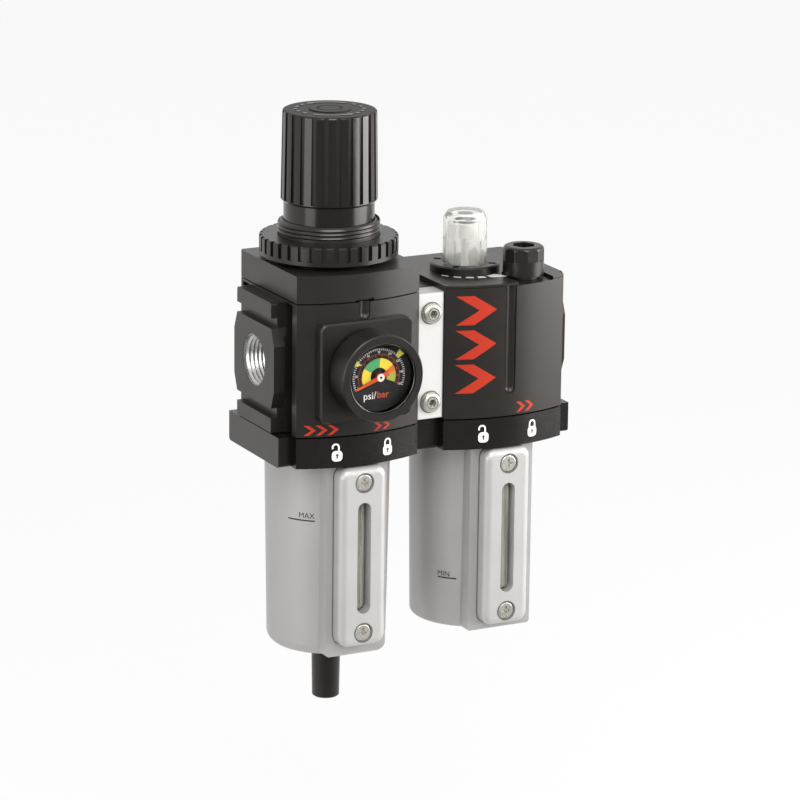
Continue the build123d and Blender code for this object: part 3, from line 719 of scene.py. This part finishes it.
plateShadeValues = {"wide": 0.28, "deep": 0.35, "corner": 4.8}
for label in ("filter", "lubricator"):  # painted shade: a dark line round each window's cover plate, where the plate meets the bowl
    low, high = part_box(label + "_window_plate")
    extra = 2 * plateShadeValues["wide"]
    wide = (high.x - low.x) / mm + extra
    tall = (high.z - low.z) / mm + extra
    shape = bmesh.new()
    place = ((low.x + high.x) / 2, high.y, (low.z + high.z) / 2)
    addRounded(shape, wide, tall, plateShadeValues["corner"], place, plateShadeValues["deep"])
    asPiece(label + "PlateContactShade", shape, "seamShade", label + "_bowl")
print("seams made")


# painted shade: dark rings round each clamp screw's head and on its dished face, and a dark disc in its
# socket
screwShadeValues = {
    "head": 4.2,
    "rim": (4.28, 4.7),
    "dish": (2.3, 2.6),
    "socket": 1.45,
    "seat": 0.6,
    "thick": 0.04,
}
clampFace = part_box("clamp_front")[0].y
screwLow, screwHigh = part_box("clamp_screws")
shape = bmesh.new()
for height in (screwLow.z + screwShadeValues["head"] * mm, screwHigh.z - screwShadeValues["head"] * mm):
    middle = (screwLow.x + screwHigh.x) / 2
    for radii, face in (("rim", clampFace), ("dish", screwLow.y)):
        inner, outer = screwShadeValues[radii]
        for start in (0, 180):
            place = (middle, face - 0.02 * mm, height)
            addBand(shape, inner, outer, start, start + 180, place, screwShadeValues["thick"])
    addDisc(shape, screwShadeValues["socket"], (middle, screwLow.y + 1.6 * mm, height), screwShadeValues["thick"])
asPiece("screwShades", shape, "seamShade", "modules")

for label in ("filter", "lubricator"):  # painted shade: a dark line round each window screw's head
    screwLow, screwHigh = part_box(label + "_window_screws")
    plateLow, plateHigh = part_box(label + "_window_plate")
    radius = (screwHigh.x - screwLow.x) / 2 / mm
    shape = bmesh.new()
    for height in (screwLow.z + radius * mm, screwHigh.z - radius * mm):
        place = ((screwLow.x + screwHigh.x) / 2, plateLow.y - 0.02 * mm, height)
        for start in (0, 180):
            outer = radius + screwShadeValues["seat"]
            addBand(shape, radius + 0.02, outer, start, start + 180, place, screwShadeValues["thick"])
    asPiece(label + "ScrewShades", shape, "seamShade", label + "_bowl")
print("screw shades made")


dialValues = {
    "start": 202.5,
    "sweep": 225.0,
    "lift": 0.02,
    "thick": 0.04,
    "colours": [
        ("dialYellow", 202.0, 150.0),
        ("dialGreen", 150.0, 86.0),
        ("dialYellow", 86.0, 35.0),
        ("dialOrange", 35.0, 12.0),
        ("dialOlive", 12.0, -22.0),
    ],
    "colourInner": 3.7,
    "colourOuter": 7.6,
    "words": {"psi/": (-4.0, -7.7, 3.0), "bar": (1.9, -7.6, 2.9)},
    "white": {
        "ticks": 48,
        "inner": 10.8,
        "outer": 11.7,
        "half": 0.55,
        "steps": 8,
        "last": 160,
        "at": 10.1,
        "tall": 0.95,
    },
    "red": {
        "ticks": 44,
        "inner": 8.95,
        "outer": 9.4,
        "half": 0.8,
        "steps": 11,
        "last": 11,
        "at": 8.35,
        "tall": 0.8,
    },
}
needleValues = {"cap": 1.6, "capThick": 0.12, "pin": 0.55, "pinThick": 0.05}
dialPlace = Vector((filterX, dialLow.y - dialValues["lift"] * mm, dialZ))
dialStart = dialValues["start"]
dialSweep = dialValues["sweep"]
dialThick = dialValues["thick"]


def dialSpot(radius, part):  # a point at a part of the scale's sweep
    angle = radians(dialStart - dialSweep * part)
    return dialPlace + Vector((radius * mm * cos(angle), 0, radius * mm * sin(angle)))


def addScale(shape, values):  # ticks and plain numbers along the sweep
    for step in range(values["ticks"] + 1):
        angle = dialStart - dialSweep * step / values["ticks"]
        half = values["half"]
        addBand(shape, values["inner"], values["outer"], angle - half, angle + half, dialPlace, dialThick)
    steps = values["steps"]
    for step in range(steps + 1):
        number = str(round(values["last"] * step / steps))
        addLetters(shape, number, dialSpot(values["at"], step / steps), values["tall"], dialThick, 0.85)


def addWord(shape, word):  # a unit's name under the scale
    across, up, tall = dialValues["words"][word]
    addLetters(shape, word, dialPlace + Vector((across * mm, 0, up * mm)), tall, dialThick)


for colour in ("dialYellow", "dialGreen", "dialOrange", "dialOlive"):
    shape = bmesh.new()
    for name, start, end in dialValues["colours"]:
        if name == colour:
            inner = dialValues["colourInner"]
            outer = dialValues["colourOuter"]
            addBand(shape, inner, outer, end, start, dialPlace, dialThick)
    asPiece(colour + "Arc", shape, colour, "modules")

shape = bmesh.new()
addScale(shape, dialValues["white"])
addWord(shape, "psi/")
asPiece("whiteScale", shape, "printWhite", "modules")
shape = bmesh.new()
addScale(shape, dialValues["red"])
addWord(shape, "bar")
asPiece("redScale", shape, "needleRed", "modules")

needleLow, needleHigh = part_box("gauge_needle")
shape = bmesh.new()
addDisc(shape, needleValues["cap"], (filterX, needleLow.y, dialZ), needleValues["capThick"])
asPiece("needleCap", shape, "needleWhite", "gauge_needle")
shape = bmesh.new()
pinPlace = (filterX, needleLow.y - needleValues["capThick"] * mm, dialZ)
addDisc(shape, needleValues["pin"], pinPlace, needleValues["pinThick"])
asPiece("needlePin", shape, "printBlack", "gauge_needle")


def addRing(shape, radius, wire, place):  # a round wire ring that faces the front
    profile = bmesh.ops.create_circle(shape, segments=10, radius=wire * mm / 2)["verts"]
    bmesh.ops.translate(shape, verts=profile, vec=Vector(place) + Vector((radius * mm, 0, 0)))
    edges = list({edge for vert in profile for edge in vert.link_edges})
    settings = {"cent": place, "axis": (0, 1, 0), "angle": 2 * pi, "steps": 72, "use_merge": True}
    bmesh.ops.spin(shape, geom=profile + edges, **settings)


ringValues = {  # bright edges of the gauge: radius, wire and how far behind the front they lie
    "lensBead": (14.3, 0.24, -0.12),
    "bezelLip": (15.9, 0.12, 0.07),
}
lensLow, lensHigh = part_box("gauge_lens")
shape = bmesh.new()
radius, wire, behind = ringValues["lensBead"]
addRing(shape, radius, wire, (filterX, lensLow.y + behind * mm, dialZ))
asPiece("lensBead", shape, "polishedEdge", "modules")
shape = bmesh.new()
bezelLow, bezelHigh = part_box("gauge_bezel")
radius, wire, behind = ringValues["bezelLip"]
addRing(shape, radius, wire, (filterX, bezelLow.y + behind * mm, dialZ))
asPiece("bezelLip", shape, "polishedEdge", "modules")
print("gauge made")


wedgeValues = {  # the white scale round the drip ring: start, end, outer radius at each end
    "marks": [(205, 216, 15.8, 15.9), (225, 237, 16.0, 16.2), (244, 256, 16.4, 16.7), (262, 273, 17.0, 17.6)],
    "last": (279, 297, 18.2, 21.2),
    "inner": 15.0,
    "thick": 0.06,
}
ringLow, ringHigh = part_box("drip_ring")
ringPlace = ((ringLow.x + ringHigh.x) / 2, (ringLow.y + ringHigh.y) / 2, topPlateTop + 0.02 * mm)
shape = bmesh.new()
for start, end, outerStart, outerEnd in [*wedgeValues["marks"], wedgeValues["last"]]:
    steps = 6
    points = arcPoints(wedgeValues["inner"], end, start, steps)
    for step in range(steps + 1):
        angle = radians(start + (end - start) * step / steps)
        radius = outerStart + (outerEnd - outerStart) * step / steps
        points.append((radius * cos(angle), radius * sin(angle)))
    addOutline(shape, points, ringPlace, wedgeValues["thick"], "top")
asPiece("dripScale", shape, "printWhite", "modules")
print("drip scale made")


ribValues = {"ribs": 10, "wide": 0.45, "proud": 0.14, "deep": 0.7, "ledge": 42.8}
domeLow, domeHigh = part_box("sight_dome")
domeMiddle = Vector(((domeLow.x + domeHigh.x) / 2, (domeLow.y + domeHigh.y) / 2, 0))
domeRadius = (domeHigh.x - domeLow.x) / 2
domeTall = ribValues["ledge"] * mm - ringHigh.z - 0.3 * mm
shape = bmesh.new()
for rib in range(ribValues["ribs"]):  # upright ribs round the lower half of the dome
    turn = Matrix.Rotation(2 * pi * rib / ribValues["ribs"], 4, "Z")
    reach = domeRadius - (ribValues["deep"] / 2 - ribValues["proud"]) * mm
    spot = Matrix.Translation(domeMiddle + Vector((0, 0, ribValues["ledge"] * mm - domeTall / 2))) @ turn
    size = Matrix.Diagonal((ribValues["deep"] * mm, ribValues["wide"] * mm, domeTall, 1))
    bmesh.ops.create_cube(shape, size=1, matrix=spot @ Matrix.Translation((reach, 0, 0)) @ size)
asPiece("domeRibs", shape, "clearDome", "drip_adjuster")
print("dome ribs made")


knobMarkValues = {
    "inner": 13.0,
    "outer": 14.6,
    "thick": 0.22,
    "start": 215,
    "sweep": 62,
    "head": 2.0,
    "dashes": (118, 138, 158, 178, 198),
    "dashSweep": 9,
}
knobLow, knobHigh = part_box("adjusting_knob")
knobFace = knobHigh.z - 0.5 * mm
knobPlace = (filterX, 0, knobFace - 0.02 * mm)
shape = bmesh.new()
for turned in (0, 180):  # two raised arrows on the knob's top
    start = knobMarkValues["start"] + turned
    end = start + knobMarkValues["sweep"]
    inner = knobMarkValues["inner"]
    outer = knobMarkValues["outer"]
    head = knobMarkValues["head"]
    addBand(shape, inner, outer, start, end, knobPlace, knobMarkValues["thick"], "top")
    tip = [(inner - head / 2, end), ((inner + outer) / 2, end + 12), (outer + head / 2, end)]
    points = [(radius * cos(radians(angle)), radius * sin(radians(angle))) for radius, angle in tip]
    addOutline(shape, points[::-1], knobPlace, knobMarkValues["thick"], "top")
    for dash in knobMarkValues["dashes"]:  # raised marks between the arrows
        start = dash + turned - knobMarkValues["dashSweep"] / 2
        end = start + knobMarkValues["dashSweep"]
        addBand(shape, inner, outer, start, end, knobPlace, knobMarkValues["thick"], "top")
asPiece("knobArrows", shape, "knobPlastic", "adjusting_knob")
print("knob marks made")


threadValues = {
    "port": {"root": 10.44, "crest": 9.6, "pitch": 1.81, "turns": 8, "sleeve": (10.36, 10.53)},
    "bonnet": {"root": 20.6, "crest": 21.0, "pitch": 1.6, "turns": 3},
    "stepsPerTurn": 48,
}


def addThread(shape, start, axis, out, values):  # one ridge that winds along the axis
    half = 0.48 * values["pitch"] * mm
    root = values["root"] * mm
    foot = start + out * root
    corners = [foot - axis * half, foot + axis * half, start + out * values["crest"] * mm]
    verts = [shape.verts.new(corner) for corner in corners]
    edges = [shape.edges.new((verts[step - 1], verts[step])) for step in range(3)]
    steps = threadValues["stepsPerTurn"]
    climb = axis * values["pitch"] * mm / steps
    turns = values["turns"]
    settings = {"cent": start, "axis": axis, "dvec": climb, "angle": 2 * pi * turns, "steps": steps * turns}
    bmesh.ops.spin(shape, geom=verts + edges, **settings)
    bare = [edge for edge in shape.edges if edge.is_boundary]
    bmesh.ops.holes_fill(shape, edges=bare, sides=3)


def addSleeve(shape, start, end, radii):  # a thin tube along X
    inner, outer = (radius * mm for radius in radii)
    corners = [(start, 0, inner), (end, 0, inner), (end, 0, outer), (start, 0, outer)]
    verts = [shape.verts.new(corner) for corner in corners]
    edges = [shape.edges.new((verts[step - 1], verts[step])) for step in range(4)]
    settings = {"cent": (start, 0, 0), "axis": (1, 0, 0), "angle": 2 * pi, "steps": 64, "use_merge": True}
    bmesh.ops.spin(shape, geom=verts + edges, **settings)


portValues = threadValues["port"]
portLong = portValues["pitch"] * portValues["turns"] * mm
inward = {"inlet": (cadBox[0].x, 1), "outlet": (cadBox[1].x, -1)}
for label, (mouth, way) in inward.items():
    shape = bmesh.new()
    start = Vector((mouth + way * 0.9 * mm, 0, 0))
    addThread(shape, start, Vector((way, 0, 0)), Vector((0, 0, 1)), portValues)
    ends = sorted((mouth + way * 0.15 * mm, mouth + way * (portLong + 0.2 * mm)))
    addSleeve(shape, ends[0], ends[1], portValues["sleeve"])
    asPiece(label + "Thread", shape, "machined", "modules", 25)
nutLow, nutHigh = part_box("panel_nut")
shape = bmesh.new()
start = Vector((filterX, 0, nutHigh.z + 0.95 * mm))
addThread(shape, start, Vector((0, 0, 1)), Vector((1, 0, 0)), threadValues["bonnet"])
asPiece("bonnetThread", shape, "collarPlastic", "modules", 25)
print("threads made")


floorValues = {
    "size": 6.0,
    "below": 116,
    "colour": (0.86, 0.86, 0.86),
    "frontMirrored": 0.30,
    "backMirrored": 1.0,
    "rise": (-0.32, 0.10),
    "cameraWhite": 0.92,
}


def floorFinish():
    recipe = Recipe("paleFloor")
    seen = recipe.add("ShaderNodeLightPath", output="Is Camera Ray")
    mirrored = recipe.add("ShaderNodeLightPath", output="Is Glossy Ray")
    through = recipe.add("ShaderNodeLightPath", output="Is Transmission Ray")
    lit = recipe.add("ShaderNodeBsdfDiffuse", {}, {"Color": rgba(floorValues["colour"])})
    pure = (1, 1, 1, 1)
    white = recipe.add("ShaderNodeEmission", {}, {"Color": pure, "Strength": 1.0})
    front = recipe.add("ShaderNodeEmission", {}, {"Color": pure, "Strength": floorValues["frontMirrored"]})
    back = recipe.add("ShaderNodeEmission", {}, {"Color": pure, "Strength": floorValues["backMirrored"]})
    start, end = floorValues["rise"]
    depth = recipe.add("ShaderNodeSeparateXYZ", {}, {0: recipe.place}, 1)
    rise = recipe.add("ShaderNodeMapRange", {}, {"Value": depth, "From Min": start, "From Max": end})
    soft = recipe.add("ShaderNodeMixShader", {}, {0: rise, 1: front, 2: back})
    plain = recipe.add("ShaderNodeMixShader", {}, {0: seen * floorValues["cameraWhite"], 1: lit, 2: white})
    clear = recipe.add("ShaderNodeMixShader", {}, {0: through, 1: plain, 2: white})
    recipe.finishWith(recipe.add("ShaderNodeMixShader", {}, {0: mirrored, 1: clear, 2: soft}))
    return recipe.material


shape = bmesh.new()
bmesh.ops.create_grid(shape, x_segments=1, y_segments=1, size=floorValues["size"] / 2)
floorHeight = cadBox[0].z - floorValues["below"] * mm  # leaves room for the bowls to drop
bmesh.ops.translate(shape, verts=shape.verts, vec=((filterX + oilX) / 2, 0, floorHeight))
floorMesh = bpy.data.meshes.new("floor")
shape.to_mesh(floorMesh)
shape.free()
floorMesh.materials.append(floorFinish())
floor = bpy.data.objects.new("floor", floorMesh)
bpy.context.scene.collection.objects.link(floor)

worldValues = {"soft": 0.30, "mirrored": 0.95, "white": 1.0}
world = bpy.data.worlds.new("studio")
bpy.context.scene.world = world
world.use_nodes = True
sky = world.node_tree
sky.nodes.clear()
skyPath = sky.nodes.new("ShaderNodeLightPath")
shades = {}
for name, strength in worldValues.items():
    shades[name] = sky.nodes.new("ShaderNodeBackground")
    shades[name].inputs["Color"].default_value = (1, 1, 1, 1)
    shades[name].inputs["Strength"].default_value = strength
shade = shades["soft"]
rays = {"Is Glossy Ray": "mirrored", "Is Transmission Ray": "white", "Is Camera Ray": "white"}
for ray, name in rays.items():
    blend = sky.nodes.new("ShaderNodeMixShader")
    sky.links.new(skyPath.outputs[ray], blend.inputs[0])
    sky.links.new(shade.outputs[0], blend.inputs[1])
    sky.links.new(shades[name].outputs[0], blend.inputs[2])
    shade = blend
skyEnd = sky.nodes.new("ShaderNodeOutputWorld")
sky.links.new(shade.outputs[0], skyEnd.inputs["Surface"])

lampValues = {
    "leftBox": {"place": (-1.15, -0.34, 0.15), "wide": 0.6, "tall": 0.9, "power": 5.5},
    "rightBox": {"place": (1.02, -0.52, 0.20), "wide": 0.95, "tall": 0.85, "power": 19.5},
    "keyBox": {"place": (-0.25, -0.90, 0.85), "wide": 0.9, "tall": 0.9, "power": 14.0},
}
aim = Vector(((filterX + oilX) / 2, 0, -20 * mm))
for name, values in lampValues.items():
    lampData = bpy.data.lights.new(name, "AREA")
    lampData.shape = "RECTANGLE"
    lampData.energy = values["power"]
    lampData.size = values["wide"]
    lampData.size_y = values["tall"]
    lamp = bpy.data.objects.new(name, lampData)
    bpy.context.scene.collection.objects.link(lamp)
    lamp.location = values["place"]
    lamp.rotation_mode = "QUATERNION"
    lamp.rotation_quaternion = (aim - lamp.location).to_track_quat("-Z", "Y")
print("studio made")
